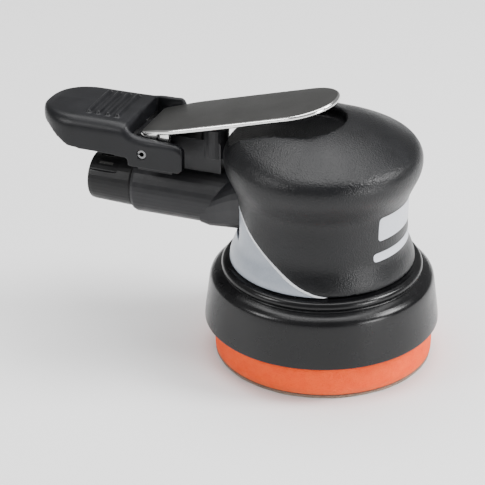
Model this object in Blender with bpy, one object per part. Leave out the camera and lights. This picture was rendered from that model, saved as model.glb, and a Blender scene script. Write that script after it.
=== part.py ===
"""Random orbital palm sander, driven by compressed air, as an assembly of separate parts.

The tool's spin axis is world Z and the pad's working face lies at z = 0. The handle tube points along
-X and the nose of the head along +X. Sizes below are millimetres; they become metres as meshes are made.
"""

import math

import bmesh
import bpy
from mathutils import Vector

MM = 0.001
GAP = 0.3  # clearance left between neighbouring solids
AXIS = (0, 0, 0)

# Sides of round bodies, by size
FINE = 56
LARGE = 40
BROAD = 32
MEDIUM = 28
SMALL = 20
TINY = 12

# Pad and orbit
ORBIT = 2.5  # eccentricity, half of a 5 mm orbit
PAD_R = 44.5  # standard 3 1/2 in disc
BOARD_R = 42.0
HOOK_TOP = 1.3
FOAM_TOP = 14.2
BACKING_TOP = 17.0
STUD_R = 3.6
PAD_AXIS = (0, ORBIT, 0)

# Crankshaft and spindle
HUB_BOTTOM = 22.2
HUB_TOP = 37.5
HUB_R = 17.5
SPINDLE_R = 6.0
SHAFT_R = 6.0
SHAFT_TOP_R = 5.0
SHAFT_STEP = 77.5
SHAFT_TOP = 85.2

# Motor stack in the housing, heights along the axis
SKIRT_BOTTOM = 40.2
THREAD_R = 28.0
BORE_R = 25.0
PLATE_BOTTOM = 49.4
PLATE_TOP = 52.9
CYLINDER_BOTTOM = 53.2
CYLINDER_TOP = 74.4
REAR_PLATE_TOP = 77.7
REAR_HUB_TOP = 86.3
CEILING = 87.3
STACK_R = BORE_R - GAP
LINER_R = 20.0
LINER_OFFSET = 1.8
ROTOR_R = LINER_R - LINER_OFFSET - GAP
BLADES = 5

# Housing and cover
BODY_R = 31.0
NECK_HALF = 18.7
NECK_LOW = 53.6
NECK_TOP = 78.8
WAIST_R = 34.3
HEAD_R = 39.7
TROUGH_HALF = 17.5
TROUGH_END = 8.8
TROUGH_SLOPE = 0.121
CROWN_LEAN = 0.075  # the crown's rise per mm behind the axis

# Handle arm, along -X
ARM_Z = 62.4
ARM_R = 12.2
ARM_END = -79.8
SLEEVE_END = -99.3
SEAT_X = -58.6
PLUNGER_X = -46.0
BOSS_TOP = 92.4
REGULATOR_X = -38.5
KNOB_FACE = 18.1

# Lever and wrist rest
PIN = (-70.9, 0, 83.3)
PIN_R = 1.8
LEVER_SLOPE = math.atan(0.276)
LEVER_THICK = 2.0
LEVER_HALF = 15.8
LEVER_TIP = 5.6
REST_HALF = 18.0
REST_WALL = 3.4


def material(name, colour, roughness, metallic=0.0):
    """A plain Principled material."""
    made = bpy.data.materials.new(name)
    made.use_nodes = True
    shader = made.node_tree.nodes["Principled BSDF"]
    shader.inputs["Base Color"].default_value = (*colour, 1)
    shader.inputs["Roughness"].default_value = roughness
    shader.inputs["Metallic"].default_value = metallic
    made.diffuse_color = (*colour, 1)
    return made


def add(name, bm, look, place=AXIS, turn=(0, 0, 0)):
    """Turns a bmesh in millimetres into an object whose origin is at place, also millimetres."""
    bmesh.ops.recalc_face_normals(bm, faces=bm.faces)
    bmesh.ops.scale(bm, vec=(MM, MM, MM), verts=bm.verts)
    mesh = bpy.data.meshes.new(name)
    bm.to_mesh(mesh)
    bm.free()
    body = bpy.data.objects.new(name, mesh)
    body.location = Vector(place) * MM
    body.rotation_euler = turn
    body.data.materials.append(look)
    bpy.context.scene.collection.objects.link(body)
    return body


def ring(bm, radius, height, segments):
    """One ring of a turned body, or its single point on the axis."""
    if radius == 0:
        return [bm.verts.new((0, 0, height))]
    angles = [math.tau * (i + 0.5) / segments for i in range(segments)]
    return [bm.verts.new((radius * math.cos(a), radius * math.sin(a), height)) for a in angles]


def skin(bm, lower, upper):
    """Faces between two rings of the same count, where either may be a single point."""
    count = max(len(lower), len(upper))
    for i in range(count):
        j = (i + 1) % count
        low, high = len(lower), len(upper)
        corners = [lower[i % low], lower[j % low], upper[j % high], upper[i % high]]
        bm.faces.new(list(dict.fromkeys(corners)))


TURNS = {"Z": (0, 0, 0), "X": (0, math.pi / 2, 0), "Y": (-math.pi / 2, 0, 0)}


def lathe(name, profile, look, place=AXIS, axis="Z", segments=LARGE):
    """A body turned about an axis through place. profile lists (radius, height) round its section."""
    bm = bmesh.new()
    rings = [ring(bm, radius, height, segments) for radius, height in profile]
    for lower, upper in zip(rings, rings[1:]):
        skin(bm, lower, upper)
    if profile[0][0] and profile[-1][0]:
        skin(bm, rings[-1], rings[0])
    return add(name, bm, look, place, TURNS[axis])


def tube(name, inner, outer, low, high, look, place=AXIS, axis="Z", segments=LARGE):
    """A plain ring with square edges."""
    section = [(inner, low), (outer, low), (outer, high), (inner, high)]
    return lathe(name, section, look, place, axis, segments)


def rod(name, radius, low, high, look, place=AXIS, axis="Z", segments=SMALL):
    """A plain round bar."""
    section = [(0, low), (radius, low), (radius, high), (0, high)]
    return lathe(name, section, look, place, axis, segments)


def prism(name, outline, low, high, look, axis="Z", place=AXIS):
    """An outline pushed along an axis: (x, y) along Z, (x, z) along Y."""
    bm = bmesh.new()
    if axis == "Z":
        lower = [bm.verts.new((a, b, low)) for a, b in outline]
        upper = [bm.verts.new((a, b, high)) for a, b in outline]
    else:
        lower = [bm.verts.new((a, low, b)) for a, b in outline]
        upper = [bm.verts.new((a, high, b)) for a, b in outline]
    skin(bm, lower, upper)
    bm.faces.new(lower)
    bm.faces.new(upper)
    return add(name, bm, look, place)


def block(name, x, y, z, look):
    """A box between pairs of x, y and z."""
    outline = [(x[0], y[0]), (x[1], y[0]), (x[1], y[1]), (x[0], y[1])]
    return prism(name, outline, z[0], z[1], look)


def loft(name, sections, look):
    """A body through closed sections of equal count, each a list of (x, y, z)."""
    bm = bmesh.new()
    rings = [[bm.verts.new(point) for point in section] for section in sections]
    for lower, upper in zip(rings, rings[1:]):
        skin(bm, lower, upper)
    bm.faces.new(rings[0])
    bm.faces.new(rings[-1])
    return add(name, bm, look)


def arc(centre, radius, start, end, count):
    """Points on an arc, angles in degrees."""
    steps = [math.radians(start + (end - start) * i / count) for i in range(count + 1)]
    return [(centre[0] + radius * math.cos(a), centre[1] + radius * math.sin(a)) for a in steps]


def combine(body, other, operation="UNION"):
    """Applies an exact Boolean to body and removes the other shape."""
    step = body.modifiers.new("step", "BOOLEAN")
    step.object = other
    step.operation = operation
    bpy.context.view_layer.update()
    graph = bpy.context.evaluated_depsgraph_get()
    result = bpy.data.meshes.new_from_object(body.evaluated_get(graph))
    body.modifiers.clear()
    spent = [body.data, other.data]
    body.data = result
    bpy.data.objects.remove(other)
    for mesh in spent:
        bpy.data.meshes.remove(mesh)
    return body


def cut(body, other):
    """Takes the other shape out of body."""
    return combine(body, other, "DIFFERENCE")


for leftover in list(bpy.data.objects):
    bpy.data.objects.remove(leftover)

ORANGE = material("orange_foam", (0.87, 0.155, 0.05), 0.62)
HOOK = material("hook_fabric", (0.42, 0.25, 0.16), 0.9)
BOARD = material("backing_board", (0.03, 0.03, 0.033), 0.6)
RUBBER = material("grip_rubber", (0.018, 0.018, 0.02), 0.55)
SKIRT = material("skirt_rubber", (0.02, 0.02, 0.021), 0.4)
PLASTIC = material("rest_plastic", (0.02, 0.021, 0.023), 0.42)
CASTING = material("coated_casting", (0.035, 0.035, 0.038), 0.45)
STEEL = material("steel", (0.55, 0.55, 0.56), 0.28, 1.0)
PLATE = material("lever_steel", (0.32, 0.32, 0.31), 0.33, 1.0)
DARK_STEEL = material("black_oxide", (0.05, 0.05, 0.055), 0.4, 0.8)
BRASS = material("brass", (0.72, 0.5, 0.22), 0.3, 1.0)
BRONZE = material("cage_bronze", (0.62, 0.42, 0.24), 0.4, 1.0)
PHENOLIC = material("phenolic", (0.22, 0.1, 0.04), 0.6)
SEAL = material("seal_rubber", (0.03, 0.03, 0.03), 0.7)
FELT = material("felt", (0.55, 0.53, 0.48), 0.95)


def pad():
    """The pad, from the hook face up to its threaded stud."""
    hook_face = [(0, 0), (PAD_R - 0.3, 0), (PAD_R - 0.3, HOOK_TOP), (0, HOOK_TOP)]
    lathe("pad_hook_face", hook_face, HOOK, PAD_AXIS, segments=FINE)
    foam_low = HOOK_TOP + GAP
    foam = [
        (0, foam_low), (PAD_R - 0.4, foam_low), (PAD_R, foam_low + 0.6),
        (PAD_R, FOAM_TOP - 1), (PAD_R - 1, FOAM_TOP), (0, FOAM_TOP),
    ]
    lathe("pad_foam", foam, ORANGE, PAD_AXIS, segments=FINE)
    board_low = FOAM_TOP + GAP
    recess_top = BACKING_TOP - 0.3
    board = [
        (9.3, board_low), (BOARD_R, board_low), (BOARD_R, BACKING_TOP - 0.8),
        (BOARD_R - 0.8, BACKING_TOP), (12, BACKING_TOP), (11, 18.6), (STUD_R + GAP, 18.6),
        (STUD_R + GAP, recess_top), (9.3, recess_top),
    ]
    lathe("pad_backing_plate", board, BOARD, PAD_AXIS, segments=BROAD)
    flange_top = recess_top - GAP
    stud = [
        (0, board_low + 0.1), (9, board_low + 0.1), (9, flange_top), (STUD_R, flange_top),
        (STUD_R, 27.4), (STUD_R - 0.6, 28), (0, 28),
    ]
    lathe("pad_stud", stud, STEEL, PAD_AXIS, segments=SMALL)


def race_groove(middle, ball, side):
    """Half-round groove of a race, from below to above, at height zero; side is 1 outside the balls."""
    reach = ball + GAP
    half = math.degrees(math.acos(0.62 * ball / reach))
    points = arc((0, 0), reach, -half, half, 3)
    return [(middle + side * across, height) for across, height in points]


def bearing(prefix, place, inner, outer, low, high, ball, count):
    """Outer race, inner race, and the balls joined to their cage."""
    middle = (inner + outer) / 2
    level = (low + high) / 2
    centre = (place[0], place[1], level)
    half = (high - low) / 2
    chamfer = 0.4
    groove = race_groove(middle, ball, 1)
    outer_race = [(groove[0][0], -half), *groove, (groove[0][0], half), (outer - chamfer, half)]
    outer_race += [(outer, half - chamfer), (outer, chamfer - half), (outer - chamfer, -half)]
    lathe(prefix + "_outer_race", outer_race, STEEL, centre, segments=MEDIUM)
    groove = race_groove(middle, ball, -1)
    inner_race = [(groove[0][0], -half), *groove, (groove[0][0], half), (inner, half), (inner, -half)]
    lathe(prefix + "_inner_race", inner_race, STEEL, centre, segments=MEDIUM)
    section = (middle - 0.5, middle + 0.5, -0.8, 0.8)
    cage = tube(prefix + "_ball_cage", *section, BRONZE, centre, segments=count * 3)
    for i in range(count):
        turn = math.tau * i / count
        bm = bmesh.new()
        bmesh.ops.create_icosphere(bm, subdivisions=1, radius=ball)
        spot = (centre[0] + middle * math.cos(turn), centre[1] + middle * math.sin(turn), level)
        combine(cage, add("ball", bm, STEEL, spot))


def crank():
    """The spindle with its bearing, and the balancer shaft that carries it off centre."""
    hexagon = arc((0, 0), 9.5, 0, 300, 5)
    spindle = prism("spindle", hexagon, 18.9, 21.4, STEEL, place=PAD_AXIS)
    combine(spindle, rod("journal", SPINDLE_R, 21.2, 32.8, STEEL, PAD_AXIS, segments=MEDIUM))
    cut(spindle, rod("thread", STUD_R + GAP, 18, 28.6, STEEL, PAD_AXIS))
    cut(spindle, rod("tapping", 2.0, 28, 34, STEEL, PAD_AXIS))
    head = [
        (0, 29.4), (1.7, 29.4), (1.7, 33.2), (7.2, 33.2), (7.2, 34.4), (6.8, 34.8), (2, 34.8),
        (2, 33.8), (0, 33.8),
    ]
    lathe("spindle_screw", head, DARK_STEEL, PAD_AXIS, segments=SMALL)
    tube("spindle_dust_shield", SPINDLE_R + GAP, 13.9, 22.4, 23.1, STEEL, PAD_AXIS, segments=MEDIUM)
    snap = tube("spindle_retaining_ring", 12.4, 14.0, 23.4, 24.4, DARK_STEEL, PAD_AXIS, segments=MEDIUM)
    cut(snap, block("mouth", (11, 15), (ORBIT - 1.5, ORBIT + 1.5), (23, 25), STEEL))
    bearing("spindle_bearing", PAD_AXIS, SPINDLE_R + GAP, 14.0, 24.8, 32.8, 2.2, 8)

    shaft = rod("balancer_shaft", HUB_R, HUB_BOTTOM, HUB_TOP, STEEL, PAD_AXIS, segments=LARGE)
    stem = [
        (0, HUB_TOP - 0.6), (8.1, HUB_TOP - 0.6), (8.1, 40.2), (SHAFT_R, 40.2), (SHAFT_R, SHAFT_STEP),
        (SHAFT_TOP_R, SHAFT_STEP), (SHAFT_TOP_R, SHAFT_TOP), (0, SHAFT_TOP),
    ]
    combine(shaft, lathe("stem", stem, STEEL, segments=MEDIUM))
    weight = arc((0, 0), 38, -160, -20, 14) + arc((0, 0), 14.8, -20, -160, 8)
    combine(shaft, prism("counterweight", weight, HUB_BOTTOM + 0.4, 32.5, STEEL))
    cut(shaft, rod("bearing_pocket", 14.3, 21, 33.2, STEEL, PAD_AXIS, segments=MEDIUM))
    cut(shaft, rod("pocket_floor", 12.4, 33, 35.3, STEEL, PAD_AXIS, segments=MEDIUM))
    cut(shaft, block("keyway", (4.3, 7), (-1.8, 1.8), (57, 71), STEEL))
    cut(shaft, rod("end_tapping", 1.9, 79.4, 86, STEEL))
    end_screw = [
        (0, 80), (1.6, 80), (1.6, 85.5), (6.4, 85.5), (6.4, 86.6), (6, 87), (1.8, 87), (1.8, 86.1),
        (0, 86.1),
    ]
    lathe("shaft_end_screw", end_screw, DARK_STEEL, segments=SMALL)


def motor():
    """Front plate, cylinder, rotor with its vanes, rear plate and the shaft's two bearings."""
    front = [
        (7, PLATE_TOP), (7, 48.7), (14.3, 48.7), (14.3, 40.5), (17, 40.5), (17, PLATE_BOTTOM),
        (STACK_R, PLATE_BOTTOM), (STACK_R, PLATE_TOP),
    ]
    lathe("front_bearing_plate", front, CASTING, segments=BROAD)
    bearing("front_bearing", AXIS, SHAFT_R + GAP, 14.0, 40.7, 48.4, 2.2, 8)

    high = PLATE_BOTTOM - GAP
    locked = tube("lock_ring", 17.4, THREAD_R - GAP, 40.6, high, CASTING, segments=BROAD)
    for i in range(4):
        turn = math.tau * (i + 0.5) / 4
        place = (24 * math.cos(turn), 24 * math.sin(turn), 0)
        cut(locked, rod("spanner_hole", 2, 39, 44, STEEL, place, segments=TINY))

    liner = rod("cylinder", STACK_R, CYLINDER_BOTTOM, CYLINDER_TOP, STEEL, segments=LARGE)
    off_centre = (0, LINER_OFFSET, 0)
    cut(liner, rod("liner_bore", LINER_R, 50, 80, STEEL, off_centre, segments=LARGE))
    cut(liner, rod("inlet_port", 2.6, -27, -15, STEEL, (0, 0, ARM_Z), "X", TINY))
    for level in (58, 63.8, 69.6):
        cut(liner, rod("exhaust_port", 1.5, 15, 27, STEEL, (0, 0, level), "X", TINY))
    cut(liner, rod("dowel_hole", 1.1, CYLINDER_TOP - 5, 80, STEEL, (0, -21.5, 0), segments=TINY))
    dowel = (CYLINDER_TOP - 4.6, REAR_PLATE_TOP - 0.6)
    rod("cylinder_dowel_pin", 0.8, *dowel, STEEL, (0, -21.5, 0), segments=TINY)

    low, high = CYLINDER_BOTTOM + GAP, CYLINDER_TOP - GAP
    rotor = tube("rotor", SHAFT_R + GAP, ROTOR_R, low, high, STEEL, segments=LARGE)
    for i in range(BLADES):
        turn = math.tau * (i + 0.5) / BLADES
        slot = block("slot", (9.4, 19), (-1.2, 1.2), (low - 1, high + 1), STEEL)
        slot.rotation_euler.z = turn
        cut(rotor, slot)
        span = (low + 0.3, high - 0.3)
        blade = block(f"rotor_blade_{i + 1}", (9.8, 17.3), (-0.85, 0.85), span, PHENOLIC)
        blade.rotation_euler.z = turn
    cut(rotor, block("keyway", (5, 7.8), (-1.8, 1.8), (low - 1, high + 1), STEEL))
    block("rotor_key", (4.6, 7.4), (-1.5, 1.5), (57.4, 70.6), STEEL)

    rear_low = CYLINDER_TOP + GAP
    rear = [
        (SHAFT_R + 0.5, rear_low), (STACK_R, rear_low), (STACK_R, REAR_PLATE_TOP), (15, REAR_PLATE_TOP),
        (15, REAR_HUB_TOP), (11.3, REAR_HUB_TOP), (11.3, 79), (SHAFT_R + 0.5, 79),
    ]
    plate = lathe("rear_bearing_plate", rear, CASTING, segments=BROAD)
    cut(plate, rod("dowel_hole", 1.1, 70, REAR_PLATE_TOP - 0.2, STEEL, (0, -21.5, 0), segments=TINY))
    bearing("rear_bearing", AXIS, SHAFT_TOP_R + GAP, 11.0, 79.3, 85.2, 1.7, 8)


def squircle(x, half, low, high, count=28, power=3.0):
    """A rounded square section of the neck at x, from low to high."""
    points = []
    for i in range(count):
        turn = math.tau * i / count
        across = math.copysign(abs(math.cos(turn)) ** (2 / power), math.cos(turn))
        up = math.copysign(abs(math.sin(turn)) ** (2 / power), math.sin(turn))
        points.append((x, half * across, (low + high) / 2 + (high - low) / 2 * up))
    return points


def housing():
    """Body, neck, handle arm, rest saddle and plunger boss, with every bore."""
    outside = [
        (0, SKIRT_BOTTOM), (32.6, SKIRT_BOTTOM), (32.6, 42.2), (BODY_R, 42.7), (BODY_R, 74),
        (32.4, 78), (33.5, 82), (33, 86), (30.5, 89.2), (28, 90), (0, 90),
    ]
    body = lathe("housing", outside, CASTING, segments=LARGE)
    arm = [
        (0, ARM_END), (ARM_R - 1.4, ARM_END), (ARM_R - 0.4, ARM_END + 0.5), (ARM_R, ARM_END + 1.6),
        (ARM_R, -24), (0, -24),
    ]
    combine(body, lathe("arm", arm, CASTING, (0, 0, ARM_Z), "X", LARGE))
    flare = [
        (-49, 11.0, 51.6, 63.5), (-45, 12.4, 51.0, 66.5), (-41, 13.8, 51.6, 70.0), (-37, 15.4, 52.3, 73.4),
        (-33, 17.1, 53.0, 76.6), (-29, NECK_HALF, NECK_LOW, NECK_TOP), (-20, NECK_HALF, NECK_LOW, NECK_TOP),
    ]
    combine(body, loft("neck", [squircle(*station) for station in flare], CASTING))
    saddle = [
        (-88, 82), (-79.4, 75.6), (-79.4, 66), (-43.5, 66), (-42, 68), (-42, 86.4), (-43.2, 87.6),
        (-61, 87.6), (-64, 87.7), (-88, 87.7),
    ]
    combine(body, prism("saddle", saddle, -4.6, 4.6, CASTING, "Y"))
    combine(body, rod("plunger_boss", 5.6, 80, BOSS_TOP, CASTING, (PLUNGER_X, 0, 0), segments=MEDIUM))
    lug = [(-77, 68), (-62, 68), (-62, 84), (-66, 87.6), (-77, 87.6)]
    combine(body, prism("lug", lug, -8, 8, CASTING, "Y"))

    cut(body, rod("thread_bore", THREAD_R, 39, PLATE_BOTTOM, STEEL, segments=LARGE))
    cavity = [(0, PLATE_BOTTOM - 1), (BORE_R, PLATE_BOTTOM - 1), (BORE_R, 80), (20, CEILING), (0, CEILING)]
    cut(body, lathe("motor_bore", cavity, STEEL, segments=LARGE))
    passage = [
        (0, -81), (8.5, -81), (8.5, -66.3), (6.5, -66.3), (6.5, SEAT_X + 2.8), (5.2, SEAT_X + 2.8),
        (5.2, -41), (3.5, -40), (3.5, -20), (0, -20),
    ]
    cut(body, lathe("air_passage", passage, STEEL, (0, 0, ARM_Z), "X", MEDIUM))
    above = [(0, ARM_Z), (2.3, ARM_Z), (2.3, 77.7), (3.6, 77.7), (3.6, 95), (0, 95)]
    cut(body, lathe("plunger_bore", above, STEEL, (PLUNGER_X, 0, 0), segments=SMALL))
    cut(body, rod("pin_hole", PIN_R + GAP, -12, 12, STEEL, PIN, "Y", SMALL))
    for turn in (-125, -90, -55):
        place = (0, 10.4 * math.cos(math.radians(turn)), ARM_Z + 10.4 * math.sin(math.radians(turn)))
        cut(body, rod("exhaust_hole", 1.1, -82, -22, STEEL, place, "X", TINY))
    valve = [(0, -5), (4.2, -5), (4.2, 20), (0, 20)]
    cut(body, lathe("regulator_bore", valve, STEEL, (REGULATOR_X, 0, ARM_Z), "Y", SMALL))
    return body


def regulator():
    """Rotary air valve across the passage, turned by its knob on the far side."""
    place = (REGULATOR_X, 0, ARM_Z)
    face = KNOB_FACE
    turned = [
        (0, -4.6), (3.9, -4.6), (3.9, 9), (3.0, 9), (3.0, 10.6), (3.9, 10.6), (3.9, face), (6.4, face),
        (6.4, face + 2.2), (5.8, face + 2.8), (0, face + 2.8),
    ]
    valve = lathe("speed_regulator", turned, DARK_STEEL, place, "Y", SMALL)
    cut(valve, rod("cross_bore", 2.7, -48, -28, STEEL, (0, 0, ARM_Z), "X", TINY))
    across = (REGULATOR_X - 5, REGULATOR_X + 5)
    cut(valve, block("slot", across, (face + 1.8, face + 4), (ARM_Z - 0.7, ARM_Z + 0.7), STEEL))
    bead = arc((3.6, 9.8), 0.42, 0, 315, 7)
    lathe("regulator_o_ring", bead, SEAL, place, "Y", SMALL)


def inlet():
    """Threaded inlet, its screen, the turnable exhaust sleeve and the felt muffler."""
    place = (0, 0, ARM_Z)
    bushing = [
        (4.2, -66.6), (8.2, -66.6), (8.2, ARM_END + 0.3), (7.2, ARM_END + 0.1),
        (7.2, SLEEVE_END + 0.8), (6.8, SLEEVE_END + 0.4), (5.7, SLEEVE_END + 0.4),
        (5.2, SLEEVE_END + 1.2), (5.2, -72.2), (4.2, -72.2),
    ]
    lathe("inlet_bushing", bushing, STEEL, place, "X", MEDIUM)
    screen = rod("inlet_screen", 4.9, -73.6, -72.6, BRASS, place, "X", SMALL)
    for i in range(6):
        turn = math.tau * i / 6
        hole = (0, 2.9 * math.cos(turn), ARM_Z + 2.9 * math.sin(turn))
        cut(screen, rod("hole", 0.9, -75, -71, STEEL, hole, "X", TINY))
    low, high = SLEEVE_END, ARM_END - GAP
    sleeve = [
        (8.7, low + 0.6), (9.0, low), (9.4, low), (9.9, low + 0.5), (10.1, low + 2), (10.6, high - 0.6),
        (10.4, high), (7.6, high), (7.6, high - 1.6), (8.7, high - 1.6),
    ]
    shell = lathe("exhaust_sleeve", sleeve, PLASTIC, place, "X", LARGE)
    pocket = tube("pocket", 9.3, 13, low - 1, -86, STEEL, place, "X", LARGE)
    corner = [(-100, 20), (-100, 6.2), (-88, 6.2), (-86.8, 6.6), (-86.2, 7.6), (-86.2, 20)]
    raised = [(x, z + ARM_Z - 0.6) for x, z in corner]
    combine(pocket, prism("patch", raised, -8.6, 8.6, STEEL, "Y"), "INTERSECT")
    cut(shell, pocket)
    for turn in (-30, 0, 30):
        slot = block("exhaust_slot", (-96.5, -89.5), (-0.8, 0.8), (5, 12), STEEL)
        slot.location = Vector(place) * MM
        slot.rotation_euler.x = math.radians(turn)
        cut(shell, slot)
    tube("muffler_felt", 7.5, 8.4, low + 1.4, high - 2, FELT, place, "X", MEDIUM)


def valve_train():
    """Plunger with its bushing, tip valve, seat and spring."""
    top = 95.2
    plunger = [
        (0, ARM_Z + 1.6), (2.0, ARM_Z + 1.6), (2.0, 91.6), (2.7, 91.6), (2.7, top - 1),
        (1.8, top - 0.2), (0, top),
    ]
    lathe("valve_plunger", plunger, DARK_STEEL, (PLUNGER_X, 0, 0), segments=SMALL)
    tube("plunger_bushing", 2.3, 3.3, 78, 87.9, DARK_STEEL, (PLUNGER_X, 0, 0), segments=SMALL)
    place = (0, 0, ARM_Z)
    tipped = [
        (0, SEAT_X - 1.7), (4.2, SEAT_X - 1.7), (4.4, SEAT_X - 1.5), (4.4, SEAT_X - 0.3), (1.0, SEAT_X),
        (1.0, -43.2), (0, -43.2),
    ]
    lathe("tip_valve", tipped, BRASS, place, "X", SMALL)
    tube("valve_seat", 3.5, 6.2, SEAT_X, SEAT_X + 2.5, SEAL, place, "X", MEDIUM)
    coil("valve_spring", place, 3.1, 0.35, -66.3, SEAT_X - 2.1, 4)


def coil(name, place, radius, wire, start, end, turns):
    """A coil spring along X, as one closed tube along a helix."""
    steps = turns * 12
    bm = bmesh.new()
    rings = []
    for i in range(steps + 1):
        along = start + wire + (end - start - 2 * wire) * i / steps
        turn = math.tau * turns * i / steps
        out = Vector((0, math.cos(turn), math.sin(turn)))
        centre = out * radius + Vector((along, 0, 0))
        sides = [math.tau * k / 6 for k in range(6)]
        offsets = [out * wire * math.cos(a) + Vector((wire * math.sin(a), 0, 0)) for a in sides]
        rings.append([bm.verts.new(centre + offset) for offset in offsets])
    for lower, upper in zip(rings, rings[1:]):
        skin(bm, lower, upper)
    bm.faces.new(rings[0])
    bm.faces.new(rings[-1])
    return add(name, bm, STEEL, place)


def cover():
    """Rubber cover over the head and waist, open below, round the neck and along the lever's trough."""
    waist = [(37.5, 43), (37.4, 44.4), (36.4, 48.7), (34.8, 51.6), (WAIST_R, 54.5), (WAIST_R, 69.6)]
    head = [(34.9, 73), (36.4, 76.6), (38, 80), (39.2, 83), (HEAD_R, 85.6), (HEAD_R, 87.6), (39.3, 89.4)]
    crown = [
        (38, 91.6), (35.9, 93.4), (32, 95.6), (28, 97.6), (24, 99.4), (18, 101.3), (10, 102.9), (0, 103.6),
    ]
    inside = [
        (0, 90.3), (28.2, 90.3), (30.8, 89.5), (33.3, 86.2), (33.8, 82), (32.7, 77.8), (BODY_R + GAP, 73.8),
        (BODY_R + GAP, 43),
    ]
    body = lathe("grip_cover", inside + waist + head + crown, RUBBER, segments=FINE)
    for vertex in body.data.vertices:
        share = min(max(vertex.co.z / MM - 90.5, 0) / 4, 1)
        vertex.co.z -= CROWN_LEAN * share * min(vertex.co.x, 0)
    end = arc((TROUGH_END - TROUGH_HALF, 0), TROUGH_HALF, 90, -90, 14)
    plan = [(-60, TROUGH_HALF), *end, (-60, -TROUGH_HALF)]
    trough = prism("trough", plan, 96.8, 130, STEEL)
    for vertex in trough.data.vertices:
        if vertex.co.z < 100 * MM:
            vertex.co.z += TROUGH_SLOPE * vertex.co.x
    cut(body, trough)
    width = NECK_HALF + GAP
    cut(body, block("neck_gap", (-60, -15), (-width, width), (NECK_LOW - GAP, NECK_TOP + GAP), STEEL))
    cut(body, rod("arm_gap", ARM_R + GAP, -60, -15, STEEL, (0, 0, ARM_Z), "X", LARGE))
    return body


def shroud():
    """Rubber skirt round the pad, with the rolled collar that grips the housing."""
    outside = [(47.4, 16), (47.8, 16.6), (45.5, 34.4), (44.9, 35.8), (43.6, 36.8), (40.7, 38.3)]
    collar = arc((38.6, 39.9), 1.7, -45, 90, 5)
    inside = [(37.6, 42.6), (33.0, 42.6), (33.0, 37.6), (41.5, 34.6), (43.2, 33), (45.4, 16)]
    lathe("shroud", outside + collar + inside, SKIRT, segments=FINE)


def lever():
    """Steel throttle lever with two flanges folded down onto the pin."""
    top = 90.75
    back = (-74, 10.3)
    tip = arc((LEVER_TIP - LEVER_HALF, 0), LEVER_HALF, 90, -90, 14)
    side = [(-72.6, 12.6), (-66, 14.2), (-60, LEVER_HALF - 0.2), (-40, LEVER_HALF)]
    plan = [back, *side, *tip, *[(x, -y) for x, y in reversed(side)], (back[0], -back[1])]
    stretched = [((x + 74) / math.cos(LEVER_SLOPE), y) for x, y in plan]
    plate = prism("throttle_lever", stretched, -LEVER_THICK, 0, PLATE, place=(-74, 0, top))
    plate.rotation_euler.y = -LEVER_SLOPE
    for side_y in (-1, 1):
        fold = [
            (-72, 90.1), (-60.5, 93.4), (-60.5, 87.5), (-67, 79.6), (-70.9, 78.8), (-74, 80.6),
            (-74.6, 84.5),
        ]
        span = sorted((side_y * 12.2, side_y * 14.2))
        combine(plate, prism("flange", fold, *span, PLATE, "Y"))
    cut(plate, rod("pin_hole", PIN_R + GAP, -20, 20, STEEL, PIN, "Y", SMALL))
    move_origin(plate, PIN)


def move_origin(body, place):
    """Moves an object's origin to a point without moving its shape."""
    bpy.context.view_layer.update()
    body.data.transform(body.matrix_world)
    body.rotation_euler = (0, 0, 0)
    body.location = Vector(place) * MM
    for vertex in body.data.vertices:
        vertex.co -= body.location


QUARTER = [math.radians(a) for a in (0, 22.5, 45, 67.5, 90)]
REST_FLOOR = 76.0
NOSE_CENTRE = -102.0


def rest_section(x, half, near, far, corner):
    """A section of the wrist rest at x: square below, rounded above, each side to its own height."""
    right = [(half - corner + corner * math.cos(a), far - corner + corner * math.sin(a)) for a in QUARTER]
    left = [(-half + corner - corner * math.cos(a), near - corner + corner * math.sin(a)) for a in QUARTER]
    crown = (0, (near + far) / 2 + 0.02 * half)
    outline = [(half, REST_FLOOR), *right, crown, *reversed(left), (-half, REST_FLOOR)]
    return [(x, y, z) for y, z in outline]


def nose_half(x):
    """Half-width of the wrist rest's round nose at x."""
    return math.sqrt(REST_HALF ** 2 - (x - NOSE_CENTRE) ** 2)


def rest():
    """Wrist rest: a deck over the inlet that runs forward as two ears beside the lever."""
    nose = [
        (-119.6, 92.6, 1.2), (-118.6, 93.6, 2.2), (-116.5, 94.3, 3.2), (-113, 94.6, 4), (-108, 94.8, 4.6),
    ]
    stations = [(x, nose_half(x), high, high, corner) for x, high, corner in nose]
    deck = [
        (NOSE_CENTRE, 94.8, 94.8, 5), (-90, 94.8, 94.8, 5), (-80, 94.4, 94.8, 4.6), (-78, 93, 94.8, 4),
        (-76, 91.2, 94.8, 3.2), (-73.5, 90.2, 94.7, 2.6), (-70, 89.7, 94.7, 2.6), (-66.6, 89.5, 94.5, 2.4),
        (-64, 89.4, 90.4, 2), (-57, 89.2, 89.2, 2), (-54.4, 88.2, 88.2, 2), (-53.2, 86.6, 86.6, 1.4),
    ]
    stations += [(x, REST_HALF, near, far, corner) for x, near, far, corner in deck]
    body = loft("wrist_rest", [rest_section(*station) for station in stations], PLASTIC)
    inner = REST_HALF - REST_WALL
    cut(body, block("cavity", (-104.5, -50), (-inner, inner), (70, 88.0), STEEL))
    cut(body, block("lever_opening", (-77.7, -50), (-inner, inner), (86, 100), STEEL))
    under = [
        (-125, 70), (-125, 90.4), (-119.6, 89.6), (-113, 87.8), (-109.2, 85), (-104, 82), (-99, 81.5),
        (-91, 81.5), (-77.6, 80.7), (-76.9, 77.5), (-55, 77.5), (-53, 79.2), (-50, 79.2), (-50, 70),
    ]
    cut(body, prism("underside", under, -30, 30, STEEL, "Y"))
    cut(body, rod("pin_hole", PIN_R + GAP, -25, 25, STEEL, PIN, "Y", SMALL))
    return body


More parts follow.
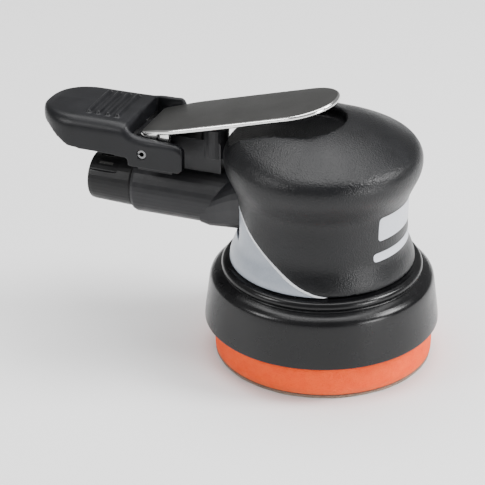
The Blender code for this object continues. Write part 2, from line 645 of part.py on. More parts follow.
def lever_pin():
    """Roll pin: a rolled steel tube whose edges leave a slit."""
    pin = tube("lever_pin", 1.0, PIN_R, -17.6, 17.6, DARK_STEEL, PIN, "Y", SMALL)
    slit = block("slit", (PIN[0] - 3, PIN[0]), (-20, 20), (PIN[2] - 0.3, PIN[2] + 0.3), STEEL)
    return cut(pin, slit)


pad()
crank()
motor()
housing()
regulator()
inlet()
valve_train()
cover()
shroud()
lever()
rest()
lever_pin()

for body in bpy.data.objects:
    body.data.shade_smooth()
    body.data.set_sharp_from_angle(angle=math.radians(34))
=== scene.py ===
"""Looks of the random orbital palm sander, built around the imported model.

The machine stands on its pad, with its spin axis on world Z and its handle along -X. Shapes here are
written in millimetres and become metres as each mesh is made; shaders work in metres.
"""

import math

import bmesh
import bpy
from mathutils import Matrix, Vector


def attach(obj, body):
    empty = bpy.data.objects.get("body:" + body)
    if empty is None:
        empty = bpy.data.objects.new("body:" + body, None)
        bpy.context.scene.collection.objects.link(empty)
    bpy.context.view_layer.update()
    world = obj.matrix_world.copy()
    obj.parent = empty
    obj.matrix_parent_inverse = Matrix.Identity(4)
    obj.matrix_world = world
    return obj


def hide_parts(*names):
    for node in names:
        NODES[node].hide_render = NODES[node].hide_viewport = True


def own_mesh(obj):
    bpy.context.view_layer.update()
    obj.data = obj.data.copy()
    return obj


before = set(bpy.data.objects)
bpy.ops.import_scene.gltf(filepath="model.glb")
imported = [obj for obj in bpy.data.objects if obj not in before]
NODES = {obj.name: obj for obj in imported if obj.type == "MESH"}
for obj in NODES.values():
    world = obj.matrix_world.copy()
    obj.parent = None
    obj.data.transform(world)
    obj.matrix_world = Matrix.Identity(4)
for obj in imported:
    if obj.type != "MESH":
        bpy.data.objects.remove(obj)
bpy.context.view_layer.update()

MM = 0.001

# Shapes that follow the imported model, in millimetres. A HALF is half a width across the centre plane.

# Cover: radii, the height of the crown and its rise per millimetre behind the spin axis
WAIST_R = 34.3
HEAD_R = 39.7
CROWN_Z = 103.6
CROWN_LEAN = 0.075
LEAN_FOOT = 90.5
LEAN_EASE = 4

# Trough in the crown that takes the pressed lever
TROUGH_HALF = 17.5
TROUGH_END = 8.8
TROUGH_SLOPE = 0.121
TROUGH_FLOOR = 96.8

# Openings in the cover for the neck and the handle tube
NECK_HALF = 19.0
NECK_LOW = 53.3
NECK_HIGH = 79.1
ARM_R = 12.5
ARM_Z = 62.4
OPENING = (-60, -15)

# The pale side panel lies below two planes that meet on the centre line: z = LEVEL + FALL x - SPREAD |y|
PANEL_LEVEL = 65.7
PANEL_FALL = -0.428
PANEL_SPREAD = 0.48
PANEL_END = 14.5
PANEL_DEPTH = 0.7
PANEL_BACKING = 0.4

# Nose bars: name, lowest z, highest z, half width
NOSE_BARS = (("nose_bar_upper", 62.4, 72.6, 17.5), ("nose_bar_lower", 53.8, 57.4, 19.5))

# Pad: its centre lies PAD_SHIFT along +Y from the spin axis
PAD_SHIFT = 2.5
HOOK_TOP = 1.3
FOAM_LOW = 1.62
FOAM_TOP = 14.2

# Lever: its back end and its pin are (x, z)
LEVER_BACK = (-74.0, 90.75)
LEVER_SLOPE = math.atan(0.276)
LEVER_HALF = 15.8
LEVER_TIP = 5.6
LEVER_THICK = 2.0
LEVER_RIM = 0.75
FLANGE_Y = (12.2, 14.2)
PIN = (-70.9, 83.3)
PIN_HOLE_R = 2.1

# Wrist rest
REST_HALF = 18.0
REST_TOP = 94.8
REST_NOSE = -102.0
REST_FOOT = 76
REST_WALL = 3.4
RIB_COUNT = 4
RIB_START = -97
RIB_STEP = 4.2
RIB_HALF = 0.8

# Edge of the even mesh that rounds a moulded piece, and its smoothing passes
COVER_VOXEL = 0.6
REST_VOXEL = 0.5
SMOOTH_PASSES = 4

# Faces that meet at more than this stay sharp where a piece isn't smooth all over
SHARP = math.radians(40)


# ---------------------------------------------------------------- shaders


# Colour sockets of a Mix node: inputs, then output
MIX_SHARE, MIX_FIRST, MIX_SECOND = 0, 6, 7
MIX_RESULT = 2


class Look:
    """One procedural material: layers of noise that drive a Principled shader."""

    def __init__(self, name, **settings):
        self.material = bpy.data.materials.new(name)
        self.material.use_nodes = True
        self.tree = self.material.node_tree
        self.shader = self.tree.nodes["Principled BSDF"]
        for socket, value in settings.items():
            self.shader.inputs[socket.replace("_", " ")].default_value = value
        self.place = self.tree.nodes.new("ShaderNodeTexCoord").outputs["Object"]
        self.normal = None

    def node(self, kind, sockets=(), **settings):
        made = self.tree.nodes.new(kind)
        for key, value in settings.items():
            setattr(made, key, value)
        for key, value in dict(sockets).items():
            if isinstance(value, bpy.types.NodeSocket):
                self.tree.links.new(value, made.inputs[key])
            else:
                made.inputs[key].default_value = value
        return made

    def stretched(self, stretch):
        """Object coordinates with each axis scaled."""
        sockets = {"Vector": self.place, "Scale": stretch}
        return self.node("ShaderNodeMapping", sockets).outputs["Vector"]

    def noise(self, scale, detail=3.0, roughness=0.55, stretch=(1, 1, 1)):
        """Fractal noise from 0 to 1, scale in features per metre."""
        sockets = {
            "Vector": self.stretched(stretch),
            "Scale": scale,
            "Detail": detail,
            "Roughness": roughness,
        }
        return self.node("ShaderNodeTexNoise", sockets).outputs["Fac"]

    def cells(self, scale, feature="SMOOTH_F1"):
        """Distance to the nearest cell centre, scale in cells per metre."""
        sockets = {"Vector": self.place, "Scale": scale}
        return self.node("ShaderNodeTexVoronoi", sockets, feature=feature).outputs["Distance"]

    def span(self, value, low, high, start=0.3, end=0.7):
        """value between start and end, moved to between low and high."""
        sockets = {"Value": value, "From Min": start, "From Max": end, "To Min": low, "To Max": high}
        return self.node("ShaderNodeMapRange", sockets).outputs["Result"]

    def blend(self, share, first, second):
        """first where share is 0, second where it is 1. A colour is a tuple or a socket."""
        sockets = {MIX_SHARE: share, MIX_FIRST: first, MIX_SECOND: second}
        for key, value in sockets.items():
            if isinstance(value, tuple):
                sockets[key] = (*value, 1)
        return self.node("ShaderNodeMix", sockets, data_type="RGBA").outputs[MIX_RESULT]

    def colour(self, value):
        self.tree.links.new(value, self.shader.inputs["Base Color"])

    def rough(self, value):
        self.tree.links.new(value, self.shader.inputs["Roughness"])

    def bump(self, height, depth, strength=1.0):
        """Adds a layer of relief, depth in millimetres."""
        sockets = {"Height": height, "Distance": depth * MM, "Strength": strength}
        if self.normal:
            sockets["Normal"] = self.normal
        self.normal = self.node("ShaderNodeBump", sockets).outputs["Normal"]
        self.tree.links.new(self.normal, self.shader.inputs["Normal"])

    def edges(self, width=0.5):
        """1 where the surface turns a corner within width millimetres, else 0, broken up by noise."""
        eased = self.node("ShaderNodeBevel", {"Radius": width * MM}, samples=4).outputs["Normal"]
        plain = self.node("ShaderNodeNewGeometry").outputs["Normal"]
        turn = self.node("ShaderNodeVectorMath", {0: eased, 1: plain}, operation="DOT_PRODUCT")
        share = self.span(turn.outputs["Value"], 1.0, 0.0, 0.8, 0.97)
        patch = self.span(self.noise(260), 0.0, 1.0, 0.42, 0.62)
        made = self.node("ShaderNodeMath", {0: share, 1: patch}, operation="MULTIPLY")
        return made.outputs[0]


def moulded(name, shade, grain, depth, rough, wear=0.05, gloss=0.25):
    """Rubber or plastic with a moulded grain: grain in cells per metre, depth in millimetres."""
    look = Look(name, Specular_IOR_Level=gloss)
    darker = tuple(0.72 * part for part in shade)
    lighter = tuple(1.3 * part for part in shade)
    mottled = look.blend(look.span(look.noise(70), 0.0, 1.0), darker, lighter)
    rubbed = tuple(part + wear for part in shade)
    look.colour(look.blend(look.edges(), mottled, rubbed))
    look.rough(look.span(look.noise(140, 4), rough[0], rough[1]))
    look.bump(look.cells(grain), depth)
    look.bump(look.noise(grain * 2.6, 2), depth * 0.4)
    return look


def metal(name, shade, rough, stretch=(1, 1, 1), scratch=0.004, grain=900.0, stain=0.82):
    """Machined metal whose tool marks are noise drawn out along two axes."""
    look = Look(name, Metallic=1.0)
    dull = tuple(stain * part for part in shade)
    tarnish = look.span(look.noise(90, 5), 0.0, 1.0)
    base = look.blend(tarnish, dull, shade)
    bright = tuple(min(1.0, 1.2 * part + 0.03) for part in shade)
    look.colour(look.blend(look.edges(0.35), base, bright))
    marks = look.noise(grain, 3, 0.6, stretch)
    look.rough(look.span(marks, rough[0], rough[1]))
    look.bump(marks, scratch)
    return look


def grip_rubber():
    """Black rubber with a fine pebble grain."""
    look = moulded("grip_rubber", (0.004, 0.0042, 0.005), 1700.0, 0.13, (0.3, 0.4), wear=0.01, gloss=0.3)
    look.bump(look.noise(1500, 2), 0.05, 0.6)
    return look.material


def paint(name, dark, light):
    """Pale paint with a trace of metal flake."""
    look = Look(name, Metallic=0.15, Coat_Weight=0.2, Coat_Roughness=0.25)
    flake = look.span(look.noise(5200, 1), 0.0, 1.0, 0.4, 0.66)
    base = look.blend(flake, dark, light)
    soil = look.span(look.noise(55, 5), 0.0, 0.35, 0.5, 0.8)
    look.colour(look.blend(soil, base, tuple(0.75 * part for part in dark)))
    look.rough(look.span(look.noise(300), 0.3, 0.44))
    look.bump(look.noise(1400, 2), 0.008)
    return look.material


def foam_skin():
    """Dense orange foam: open cells darkened in their pits as painted shade, and a slightly dirty lower edge.
    """
    look = Look("orange_foam", Specular_IOR_Level=0.2)
    pores = look.cells(1500, "F1")
    mottle = look.span(look.noise(240, 4), 0.0, 1.0)
    base = look.blend(mottle, (0.88, 0.07, 0.006), (0.95, 0.105, 0.012))
    # The pits of the pores are a darker orange: painted shade
    pores_painted_shade = look.blend(look.span(pores, 1.0, 0.0, 0.1, 0.45), base, (0.66, 0.04, 0.004))
    height = look.node("ShaderNodeSeparateXYZ", {"Vector": look.place}).outputs["Z"]
    low_edge = look.span(height, 1.0, 0.0, 1.2 * MM, 4.5 * MM)
    dusty = look.node("ShaderNodeMath", {0: low_edge, 1: look.noise(500)}, operation="MULTIPLY")
    mixed = look.blend(0.35, base, pores_painted_shade)
    look.colour(look.blend(dusty.outputs[0], mixed, (0.6, 0.17, 0.07)))
    look.rough(look.span(look.noise(600), 0.62, 0.82))
    look.bump(pores, 0.12)
    look.bump(look.noise(2600, 3), 0.1)
    return look.material


def fibres(name, dark, light, scale, depth):
    """Felt, or a field of short nylon hooks."""
    look = Look(name, Sheen_Weight=0.4, Sheen_Roughness=0.5)
    tuft = look.noise(scale, 5, 0.7)
    look.colour(look.blend(look.span(tuft, 0.0, 1.0), dark, light))
    look.rough(look.span(look.noise(scale * 0.3), 0.82, 0.96))
    look.bump(look.cells(scale, "F1"), depth)
    look.bump(tuft, depth)
    return look.material


def coated_casting():
    """Cast aluminium under black paint: orange peel, and bare metal where edges are rubbed."""
    look = Look("coated_casting", Specular_IOR_Level=0.3)
    mottle = look.span(look.noise(80, 4), 0.0, 1.0)
    base = look.blend(mottle, (0.009, 0.009, 0.0105), (0.016, 0.016, 0.018))
    look.colour(look.blend(look.edges(0.4), base, (0.09, 0.09, 0.093)))
    look.rough(look.span(look.noise(320, 3), 0.34, 0.48))
    look.bump(look.noise(750, 2), 0.035)
    look.bump(look.noise(3600, 1), 0.008)
    return look.material


def laminate():
    """Brown phenolic laminate in thin layers."""
    look = Look("phenolic")
    layers = look.noise(500, 3, 0.6, (1, 1, 7))
    look.colour(look.blend(look.span(layers, 0.0, 1.0), (0.11, 0.045, 0.015), (0.26, 0.12, 0.05)))
    look.rough(look.span(look.noise(700), 0.45, 0.62))
    look.bump(layers, 0.03)
    return look.material


# How noise is stretched for the tool marks of metal turned about Z or X, or brushed along X
TURNED_Z = (1.0, 1.0, 9.0)
TURNED_X = (9.0, 1.0, 1.0)
ALONG_X = (0.04, 5.0, 5.0)

rubber = grip_rubber()
panel = paint("panel_paint", (0.27, 0.30, 0.345), (0.36, 0.39, 0.44))
# Pale paint for a thin strip along the panel's upper edge: a painted highlight where its lip catches the
# light
painted_highlight_trim = paint("painted_highlight_trim", (0.62, 0.64, 0.67), (0.76, 0.78, 0.8))
pale_ink = paint("pale_ink", (0.5, 0.52, 0.57), (0.62, 0.64, 0.69))
skirt = moulded(
    "skirt_rubber", (0.004, 0.004, 0.0045), 2600.0, 0.014, (0.2, 0.3), wear=0.01, gloss=0.3
).material
plastic = moulded(
    "rest_plastic", (0.007, 0.0072, 0.0085), 2100.0, 0.03, (0.32, 0.44), wear=0.02
).material
sleeve_plastic = moulded(
    "sleeve_plastic", (0.009, 0.009, 0.0095), 1800.0, 0.03, (0.36, 0.48), wear=0.03
).material
board = moulded("backing_board", (0.026, 0.026, 0.028), 900.0, 0.05, (0.5, 0.66)).material
seal = moulded("seal_rubber", (0.02, 0.02, 0.02), 1500.0, 0.03, (0.5, 0.66), wear=0.02).material
casting = coated_casting()
foam = foam_skin()
hooks = fibres("hook_fabric", (0.09, 0.06, 0.045), (0.36, 0.24, 0.16), 1900.0, 0.35)
felt = fibres("felt", (0.035, 0.034, 0.032), (0.09, 0.088, 0.082), 1500.0, 0.25)
steel = metal("steel_turned", (0.5, 0.5, 0.51), (0.2, 0.34), TURNED_Z).material
steel_x = metal("steel_turned_along_arm", (0.5, 0.5, 0.51), (0.2, 0.34), TURNED_X).material
ground = metal(
    "steel_ground", (0.6, 0.6, 0.61), (0.1, 0.2), TURNED_Z, scratch=0.002, grain=1400.0
).material
lever_top = metal(
    "lever_steel", (0.13, 0.13, 0.126), (0.34, 0.46), ALONG_X, scratch=0.006, grain=1000.0
).material
# Bright steel that paints a highlight on the lever's rounded rim and upright faces
lever_edge_highlight = metal("lever_edge_highlight", (0.82, 0.82, 0.81), (0.12, 0.2), ALONG_X, scratch=0.002).material
# Black oxide for screws and rings; on the valve plunger and its bushing it also paints the shade under the
# lever
oxide_and_painted_shade = metal("black_oxide", (0.06, 0.06, 0.066), (0.3, 0.46), TURNED_Z, stain=0.6).material
pin_steel = metal("pin_steel", (0.2, 0.2, 0.205), (0.22, 0.36), (1, 4, 1)).material
brass = metal("brass", (0.66, 0.45, 0.19), (0.2, 0.34), TURNED_X, stain=0.7).material
bronze = metal("cage_bronze", (0.56, 0.37, 0.2), (0.24, 0.4), TURNED_Z, stain=0.7).material
phenolic = laminate()

# What each CAD node is made of. The shapes below stand for some of them.
FINISHES = {
    casting: "housing lock_ring front_bearing_plate rear_bearing_plate",
    board: "pad_backing_plate",
    plastic: "wrist_rest",
    sleeve_plastic: "exhaust_sleeve",
    seal: "regulator_o_ring valve_seat",
    felt: "muffler_felt",
    hooks: "pad_hook_face",
    foam: "pad_foam",
    rubber: "grip_cover",
    skirt: "shroud",
    lever_top: "throttle_lever",
    ground: "spindle_bearing_outer_race spindle_bearing_inner_race front_bearing_outer_race "
    "front_bearing_inner_race rear_bearing_outer_race rear_bearing_inner_race cylinder",
    steel: "pad_stud spindle spindle_dust_shield balancer_shaft cylinder_dowel_pin rotor rotor_key",
    steel_x: "inlet_bushing valve_spring",
    # The valve plunger and its bushing are put in black oxide to stay as dark as the shade under the lever:
    # painted shade
    oxide_and_painted_shade: "spindle_screw spindle_retaining_ring shaft_end_screw speed_regulator valve_plunger "
    "plunger_bushing",
    pin_steel: "lever_pin",
    brass: "inlet_screen tip_valve",
    bronze: "spindle_bearing_ball_cage front_bearing_ball_cage rear_bearing_ball_cage",
    phenolic: " ".join(f"rotor_blade_{i + 1}" for i in range(5)),
}
for finish, names in FINISHES.items():
    for name in names.split():
        NODES[name].material_slots[0].material = finish


# ---------------------------------------------------------------- shapes


def add(name, bm, *looks):
    """Turns a bmesh in millimetres into a smooth object at the origin."""
    bmesh.ops.recalc_face_normals(bm, faces=bm.faces)
    bmesh.ops.scale(bm, vec=(MM, MM, MM), verts=bm.verts)
    mesh = bpy.data.meshes.new(name)
    bm.to_mesh(mesh)
    bm.free()
    piece = bpy.data.objects.new(name, mesh)
    bpy.context.scene.collection.objects.link(piece)
    for look in looks:
        mesh.materials.append(look)
    mesh.shade_smooth()
    return piece


def arc(centre, radius, start, end, count):
    """Points on an arc, angles in degrees."""
    steps = [math.radians(start + (end - start) * i / count) for i in range(count + 1)]
    return [(centre[0] + radius * math.cos(a), centre[1] + radius * math.sin(a)) for a in steps]


def between(p, q, r, s, t):
    """The Catmull-Rom value at t on the way from q to r, with p before and s after them."""
    square = (2 * p - 5 * q + 4 * r - s) * t * t
    cube = (3 * q - p - 3 * r + s) * t**3
    return 0.5 * (2 * q + (r - p) * t + square + cube)


def flowing(points, steps=5):
    """A smooth curve through the points, with steps pieces from each to the next."""
    ends = [points[0], *points, points[-1]]
    made = []
    for four in zip(ends, ends[1:], ends[2:], ends[3:]):
        for i in range(steps):
            made.append(tuple(between(*values, i / steps) for values in zip(*four)))
    return [*made, points[-1]]


def filleted(points, radius, count=4):
    """A closed outline with each corner eased by about radius."""
    made = []
    total = len(points)
    for i, corner in enumerate(points):
        here = Vector(corner)
        before, after = Vector(points[i - 1]) - here, Vector(points[(i + 1) % total]) - here
        reach = min(radius, 0.45 * before.length, 0.45 * after.length)
        start, end = here + before.normalized() * reach, here + after.normalized() * reach
        for k in range(count + 1):
            t = k / count
            made.append(tuple(start * (1 - t) ** 2 + here * 2 * t * (1 - t) + end * t * t))
    return made


def turned(name, profile, *looks, centre=(0, 0), segments=144, wobble=0.0):
    """A body turned about Z. profile lists (radius, height); a radius of 0 is a point on the axis.

    wobble is how far, in millimetres, the sides stray from round.
    """
    bm = bmesh.new()
    rings = []
    for radius, height in profile:
        ring = []
        for i in range(segments if radius else 1):
            angle = math.tau * i / segments
            stray = math.sin(7 * angle + height) * math.sin(19 * angle + 2 * height)
            reach = radius + wobble * stray if radius else 0
            x, y = centre[0] + reach * math.cos(angle), centre[1] + reach * math.sin(angle)
            ring.append(bm.verts.new((x, y, height)))
        rings.append(ring)
    pairs = list(zip(rings, rings[1:]))
    if len(rings[0]) > 1 and len(rings[-1]) > 1:
        pairs.append((rings[-1], rings[0]))
    for lower, upper in pairs:
        for i in range(max(len(lower), len(upper))):
            j = (i + 1) % segments
            corners = [ring[k % len(ring)] for ring, k in ((lower, i), (lower, j), (upper, j), (upper, i))]
            bm.faces.new(list(dict.fromkeys(corners)))
    return add(name, bm, *looks)


def rod(radius, start, end, segments):
    """A plain cylinder on Z, to cut with."""
    return turned("rod", [(0, start), (radius, start), (radius, end), (0, end)], segments=segments)


def skin(bm, rings):
    """Faces between each two of the closed rings of vertices, and over both ends."""
    for lower, upper in zip(rings, rings[1:]):
        for i in range(len(lower)):
            j = (i + 1) % len(lower)
            bm.faces.new([lower[i], lower[j], upper[j], upper[i]])
    bm.faces.new(rings[0])
    bm.faces.new(rings[-1])


def prism(name, outline, low, high, *looks, axis="Z"):
    """An outline pushed from low to high along an axis: (x, y) along Z, (x, z) along Y, (y, z) along X."""
    bm = bmesh.new()
    place = "XYZ".index(axis)
    rings = []
    for level in (low, high):
        points = [(*point[:place], level, *point[place:]) for point in outline]
        rings.append([bm.verts.new(point) for point in points])
    skin(bm, rings)
    return add(name, bm, *looks)


def box(name, x, y, z, *looks):
    """A box between pairs of x, y and z."""
    return prism(name, [(x[0], y[0]), (x[1], y[0]), (x[1], y[1]), (x[0], y[1])], *z, *looks)


def settle(piece):
    """Applies every modifier of the piece."""
    bpy.context.view_layer.update()
    graph = bpy.context.evaluated_depsgraph_get()
    made = bpy.data.meshes.new_from_object(piece.evaluated_get(graph))
    piece.modifiers.clear()
    spent = piece.data
    piece.data = made
    bpy.data.meshes.remove(spent)
    return piece


def put_down(piece):
    """Moves the mesh to where the piece stands, and the piece back to the origin."""
    bpy.context.view_layer.update()
    piece.data.transform(piece.matrix_world)
    piece.matrix_world = Matrix()


def combine(piece, other, operation="DIFFERENCE"):
    """Takes other out of piece, or joins them, and removes other."""
    step = piece.modifiers.new("step", "BOOLEAN")
    step.object = other
    step.operation = operation
    settle(piece)
    spent = other.data
    bpy.data.objects.remove(other)
    bpy.data.meshes.remove(spent)
    return piece


def soften(piece, voxel):
    """Rounds every edge: an even mesh of voxel millimetres, then smoothing passes."""
    looks = list(piece.data.materials)
    even = piece.modifiers.new("even", "REMESH")
    even.mode = "VOXEL"
    even.voxel_size = voxel * MM
    smooth = piece.modifiers.new("smooth", "SMOOTH")
    smooth.iterations = SMOOTH_PASSES
    settle(piece)
    piece.data.materials.clear()
    for look in looks:
        piece.data.materials.append(look)
    piece.data.shade_smooth()
    return piece


def trim(piece, point, normal):
    """Removes what lies on the normal's side of a plane, point in millimetres, and closes the cut."""
    bm = bmesh.new()
    bm.from_mesh(piece.data)
    parts = [*bm.verts, *bm.edges, *bm.faces]
    place = Vector(point) * MM
    cut = bmesh.ops.bisect_plane(bm, geom=parts, plane_co=place, plane_no=normal, clear_outer=True)
    edges = [part for part in cut["geom_cut"] if isinstance(part, bmesh.types.BMEdge)]
    bmesh.ops.holes_fill(bm, edges=edges)
    bm.to_mesh(piece.data)
    bm.free()
    return piece


def seat(piece, body, slot, *nodes):
    """Puts a piece on its body, standing for the CAD nodes named. slot is not used."""
    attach(piece, body)
    if nodes:
        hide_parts(*nodes)
    return piece


# ---------------------------------------------------------------- cover


# Profile of the cover as (radius, height), upwards outside and downwards inside
WAIST = [
    (37.5, 43), (37.2, 45.4), (36.3, 48.2), (35.2, 51), (34.6, 53.4),
    (WAIST_R, 56.5), (WAIST_R, 61), (WAIST_R, 66),
]
HEAD = [
    (WAIST_R + 0.1, 69.8), (34.9, 73), (36.4, 76.6), (38, 80), (39.2, 83),
    (HEAD_R, 85.6), (HEAD_R, 87.6), (39.3, 89.4),
]
CROWN = [(38, 91.6), (35.9, 93.4), (32, 95.6), (28, 97.6), (24, 99.4), (18, 101.3), (10, 102.9), (0, CROWN_Z)]
INSIDE = [
    (0, 90.3), (28.2, 90.3), (30.8, 89.5), (33.3, 86.2), (33.8, 82), (32.7, 77.8), (31.3, 73.8), (31.3, 43),
]


def waist_shell(name, inner, outer, look, low=43.0, high=82.0):
    """A shell round the cover's side, from inner to outer past its surface and between two heights."""
    side = [point for point in flowing(WAIST + HEAD, 4) if low <= point[1] <= high]
    profile = [(radius + outer, height) for radius, height in side]
    profile += [(radius + inner, height) for radius, height in reversed(side)]
    return turned(name, profile, look)


def under_planes(piece, lowered=0.0):
    """What lies under the panel's two planes and behind its tip, all of them moved in by lowered."""
    for side in (-1, 1):
        trim(piece, (0, 0, PANEL_LEVEL - lowered), (-PANEL_FALL, -side * PANEL_SPREAD, 1))
    return trim(piece, (PANEL_END - lowered, 0, 0), (1, 0, 0))


def neck_openings(piece):
    """Cuts a piece of the cover where the neck and the handle tube pass."""
    combine(piece, box("neck_gap", OPENING, (-NECK_HALF, NECK_HALF), (NECK_LOW, NECK_HIGH)))
    gap = rod(ARM_R, *OPENING, 48)
    gap.rotation_euler.y = math.pi / 2
    gap.location.z = ARM_Z * MM
    return combine(piece, gap)


def cover():
    """Rubber cover: crown with the lever's trough, openings for the neck, a recess and its side panel."""
    body = turned("grip_cover_rubber", INSIDE + flowing(WAIST + HEAD + CROWN, 4), rubber)
    for vertex in body.data.vertices:
        share = min(max(vertex.co.z / MM - LEAN_FOOT, 0) / LEAN_EASE, 1)
        vertex.co.z -= CROWN_LEAN * share * min(vertex.co.x, 0)
    back, above = -60, 130  # both past the cover
    end = arc((TROUGH_END - TROUGH_HALF, 0), TROUGH_HALF, 90, -90, 28)
    trough = prism("trough", [(back, TROUGH_HALF), *end, (back, -TROUGH_HALF)], TROUGH_FLOOR, above)
    for vertex in trough.data.vertices:
        if vertex.co.z < CROWN_Z * MM:
            vertex.co.z += TROUGH_SLOPE * vertex.co.x
    combine(body, trough)
    neck_openings(body)
    combine(body, under_planes(waist_shell("panel_recess", -PANEL_DEPTH, 3, rubber)))
    soften(body, COVER_VOXEL)
    seat(body, "housing_body", "grip_rubber", "grip_cover")

    depth = -PANEL_DEPTH - PANEL_BACKING
    # A thin pale strip just above the panel's edge paints the highlight that its lip catches
    rim = under_planes(waist_shell("panel_highlight_rim", depth, -0.02, painted_highlight_trim), 0.2)
    combine(rim, under_planes(waist_shell("inside", -3, 3, painted_highlight_trim), 0.95))
    neck_openings(rim)
    seat(rim, "housing_body", "grip_rubber")
    side_panel = under_planes(waist_shell("side_panel", depth, -0.12, panel), 1.0)
    neck_openings(side_panel)
    seat(side_panel, "housing_body", "grip_rubber")


def nose_bars():
    """Two plain pale bars let into the nose of the cover."""
    for name, low, high, half in NOSE_BARS:
        bar = waist_shell(name, -0.5, 0.07, pale_ink, low - 3, high + 3)
        window = filleted([(-half, low), (half, low), (half, high), (-half, high)], 1.4)
        combine(bar, prism("window", window, 20, 50, axis="X"), "INTERSECT")
        bar.data.set_sharp_from_angle(angle=SHARP)
        seat(bar, "housing_body", "grip_rubber")


cover()
nose_bars()


# ---------------------------------------------------------------- skirt and pad


def shroud():
    """Rubber skirt with a rolled collar."""
    outside = flowing([(47.6, 16.6), (47.3, 20), (46.3, 28), (45.6, 33.6), (44.9, 35.6), (43.4, 37)])
    collar = arc((38.6, 39.9), 2.15, -48, 100, 16)
    neck = [(37.3, 42.2), (36.6, 42.5)]
    inside = [(33.2, 42.4), (33.2, 37.8), (41.5, 34.6), (43.2, 33), (45.6, 16.4), (46.4, 16.1), (47.2, 16.2)]
    groove = [(42.0, 37.6), (40.7, 38.1)]
    body = turned("shroud_skirt", outside + groove + collar + neck + inside, skirt, segments=160)
    seat(body, "housing_body", "skirt_rubber", "shroud")


def pad():
    """Foam disc and its hook face."""
    placed = {"centre": (0, PAD_SHIFT), "segments": 180}
    side = [
        (44.0, 1.65), (44.35, 2.1), (44.45, 4), (44.5, 8), (44.5, 12),
        (44.3, 13.3), (43.7, 14.0), (42.6, FOAM_TOP),
    ]
    foam_profile = [(0, FOAM_LOW), (20, FOAM_LOW), *side, (20, FOAM_TOP), (0, FOAM_TOP)]
    disc = turned("pad_foam_disc", foam_profile, foam, wobble=0.03, **placed)
    seat(disc, "pad_body", "orange_foam", "pad_foam")
    edge = [(43.4, 0.05), (43.95, 0.15), (44.15, 0.5), (44.2, 0.9), (44.0, 1.25)]
    face_profile = [(0, 0), (22, 0), *edge, (22, HOOK_TOP), (0, HOOK_TOP)]
    face = turned("pad_hook_disc", face_profile, hooks, wobble=0.12, **placed)
    seat(face, "pad_body", "hook_fabric", "pad_hook_face")


shroud()
pad()


# ---------------------------------------------------------------- lever and rest


def pin_hole(reach, segments):
    """A rod along Y where the lever's pin passes, to cut a hole."""
    hole = rod(PIN_HOLE_R, -reach, reach, segments)
    hole.rotation_euler.x = math.pi / 2
    hole.location = (PIN[0] * MM, 0, PIN[1] * MM)
    return hole


def lever():
    """Pressed steel lever: a plate with two flanges folded down to the pin; its rounded rim and upright faces
    take a bright steel that paints a highlight on them.
    """
    tip = arc((LEVER_TIP - LEVER_HALF, 0), LEVER_HALF, 90, -90, 40)
    near = [(-66, 14.2), (-60, 15.5), (-50, 15.75), (-40, LEVER_HALF)]
    corner = arc((-71.2, 10.6), 2.8, 180, 110, 8)
    side = [*corner, *flowing(near, 4)]
    plan = [*side, *tip, *[(x, -y) for x, y in reversed(side)]]
    flat = [((x - LEVER_BACK[0]) / math.cos(LEVER_SLOPE), y) for x, y in plan]
    plate = prism("lever_plate", flat, -LEVER_THICK, 0, lever_top, lever_edge_highlight)
    round_rim = plate.modifiers.new("rim", "BEVEL")
    round_rim.width = LEVER_RIM * MM
    round_rim.segments = 4
    round_rim.limit_method = "ANGLE"
    round_rim.angle_limit = math.radians(60)
    # The rounded rim takes material 1, the bright steel of the painted highlight
    round_rim.material = 1
    settle(plate)
    plate.rotation_euler.y = -LEVER_SLOPE
    plate.location = (LEVER_BACK[0] * MM, 0, LEVER_BACK[1] * MM)
    put_down(plate)
    fold = [(-72, 90.1), (-60.5, 93.4), (-60.5, 87.5), (-67, 79.6), (-70.9, 78.8), (-74, 80.6), (-74.6, 84.5)]
    for side_y in (-1, 1):
        span = sorted(side_y * y for y in FLANGE_Y)
        flange = prism("flange", filleted(fold, 2.0), *span, lever_top, lever_edge_highlight, axis="Y")
        combine(plate, combine(flange, pin_hole(20, 40)), "UNION")
    # Upright faces, the flanges' sides among them, take the bright steel too: a painted highlight
    for face in plate.data.polygons:
        upright = abs(face.normal.y) > 0.5 or abs(face.normal.x) > 0.6
        face.material_index = 1 if upright or face.material_index == 1 else 0
    plate.data.set_sharp_from_angle(angle=SHARP)
    seat(plate, "lever_body", "lever_steel", "throttle_lever")


def rest_section(x, half, near, far, corner):
    """A section of the wrist rest at x: square below, its top edges rounded by corner.

    near is the height of the side at -Y, far that of the side at +Y.
    """
    quarter = [math.radians(angle) for angle in range(0, 91, 15)]
    right = [(half - corner + corner * math.cos(a), far - corner + corner * math.sin(a)) for a in quarter]
    left = [(-half + corner - corner * math.cos(a), near - corner + corner * math.sin(a)) for a in quarter]
    crowning = 0.36 if half > 12 else 0.1  # less near the point of the nose
    middle = (0, (near + far) / 2 + crowning)
    outline = [(half, REST_FOOT), *right, middle, *reversed(left), (-half, REST_FOOT)]
    return [(x, y, z) for y, z in outline]


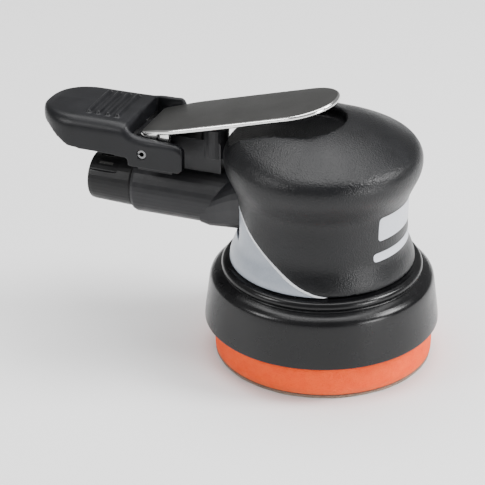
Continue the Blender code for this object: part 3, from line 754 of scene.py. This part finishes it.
def rest():
    """Wrist rest: a rounded deck with two ears beside the lever and a few moulded grip ribs."""
    sections = []
    for degrees in range(12, 90, 6):
        along, across = math.cos(math.radians(degrees)), math.sin(math.radians(degrees))
        height = REST_TOP - 2.4 * (1 - across) ** 1.6
        corner = 1.2 + 3.8 * across**1.5
        sections.append((REST_NOSE - REST_HALF * along, REST_HALF * across, height, height, corner))
    # x, then the height of the side at -Y, that of the side at +Y, and the radius of the top edges
    deck = [
        (REST_NOSE, REST_TOP, REST_TOP, 5), (-90, REST_TOP, REST_TOP, 5), (-80, 94.4, REST_TOP, 4.6),
        (-78, 93, REST_TOP, 4), (-76, 91.2, REST_TOP, 3.2), (-73.5, 90.2, 94.7, 2.6), (-70, 89.7, 94.7, 2.6),
        (-66.6, 89.5, 94.5, 2.4), (-64, 89.4, 90.4, 2), (-57, 89.2, 89.2, 2), (-54.4, 88.2, 88.2, 2),
        (-53.2, 86.6, 86.6, 1.4),
    ]
    sections += [(x, REST_HALF, near, far, corner) for x, near, far, corner in flowing(deck, 4)]
    bm = bmesh.new()
    skin(bm, [[bm.verts.new(point) for point in rest_section(*section)] for section in sections])
    body = add("rest_moulding", bm, plastic)
    for k in range(RIB_COUNT):
        x = RIB_START + RIB_STEP * k
        combine(body, box("rib", (x - RIB_HALF, x + RIB_HALF), (-11, 11), (90, 96.2)), "UNION")
    inner = REST_HALF - REST_WALL
    combine(body, box("cavity", (-104.5, -50), (-inner, inner), (70, 88)))
    combine(body, box("lever_opening", (-77.7, -50), (-inner, inner), (86, 100)))
    under = [
        (-125, 70), (-125, 90.4), (-119.6, 89.6), (-113, 87.8), (-109.2, 85), (-104, 82), (-99, 81.5),
        (-91, 81.5), (-77.6, 80.7), (-76.9, 77.5), (-55, 77.5), (-53, 79.2), (-50, 79.2), (-50, 70),
    ]
    combine(body, prism("underside", under, -30, 30, axis="Y"))
    soften(body, REST_VOXEL)
    combine(body, pin_hole(25, 48))
    seat(body, "housing_body", "rest_plastic", "wrist_rest")


def spring():
    """The tip valve's spring, which shortens as the valve head tilts back into it; this copy keeps the shape
    it has in the model.
    """
    coil = bpy.data.objects.new("valve_coil", NODES["valve_spring"].data.copy())
    bpy.context.scene.collection.objects.link(coil)
    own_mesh(coil)
    seat(coil, "housing_body", "steel", "valve_spring")


lever()
rest()
spring()


# ---------------------------------------------------------------- studio


FLOOR_HALF = 4000  # millimetres
WORLD_STRENGTH = 0.34

# Square lamps aimed at LIT: name, place and side in metres, power in watts
LIT = Vector((-0.01, 0, 0.06))
LAMPS = (
    ("key", (0.68, 0.16, 0.66), 0.3, 9.0),
    ("low_key", (0.86, -0.3, 0.2), 0.3, 5.0),
    ("fill", (-0.6, -0.62, 0.55), 0.3, 4.0),
    ("top", (-0.1, 0.2, 1.8), 1.8, 58.0),
)

# Camera: place in metres, direction of view, roll in degrees, lens and sensor in millimetres
CAMERA_PLACE = (0.2859, -0.8125, 0.4918)
CAMERA_AIM = Vector((-0.3262, 0.8270, -0.4579))
CAMERA_ROLL = -0.27
LENS = 178.1
SENSOR = 36.0


def aimed(thing, name, place, direction):
    """An object for a light or a camera, at a place and facing along a direction."""
    made = bpy.data.objects.new(name, thing)
    made.location = place
    made.rotation_euler = direction.to_track_quat("-Z", "Y").to_euler()
    bpy.context.scene.collection.objects.link(made)
    return made


def studio():
    """Pale floor, soft lights and the camera."""
    pale = Look("studio_floor", Roughness=0.6)
    pale.colour(pale.blend(pale.noise(3), (0.86, 0.86, 0.86), (0.9, 0.9, 0.9)))
    bm = bmesh.new()
    bmesh.ops.create_grid(bm, x_segments=1, y_segments=1, size=FLOOR_HALF)
    add("floor", bm, pale.material)

    world = bpy.data.worlds.new("studio")
    bpy.context.scene.world = world
    world.use_nodes = True
    background = world.node_tree.nodes["Background"]
    background.inputs["Color"].default_value = (1, 1, 1, 1)
    background.inputs["Strength"].default_value = WORLD_STRENGTH

    for name, place, side, power in LAMPS:
        light = bpy.data.lights.new(name, "AREA")
        light.size = side
        light.energy = power
        aimed(light, name, place, LIT - Vector(place))

    lens = bpy.data.cameras.new("camera")
    lens.sensor_width = SENSOR
    lens.lens = LENS
    lens.clip_end = 20.0
    camera = aimed(lens, "camera", CAMERA_PLACE, CAMERA_AIM)
    camera.rotation_euler.rotate_axis("Z", math.radians(CAMERA_ROLL))
    bpy.context.scene.camera = camera


studio()
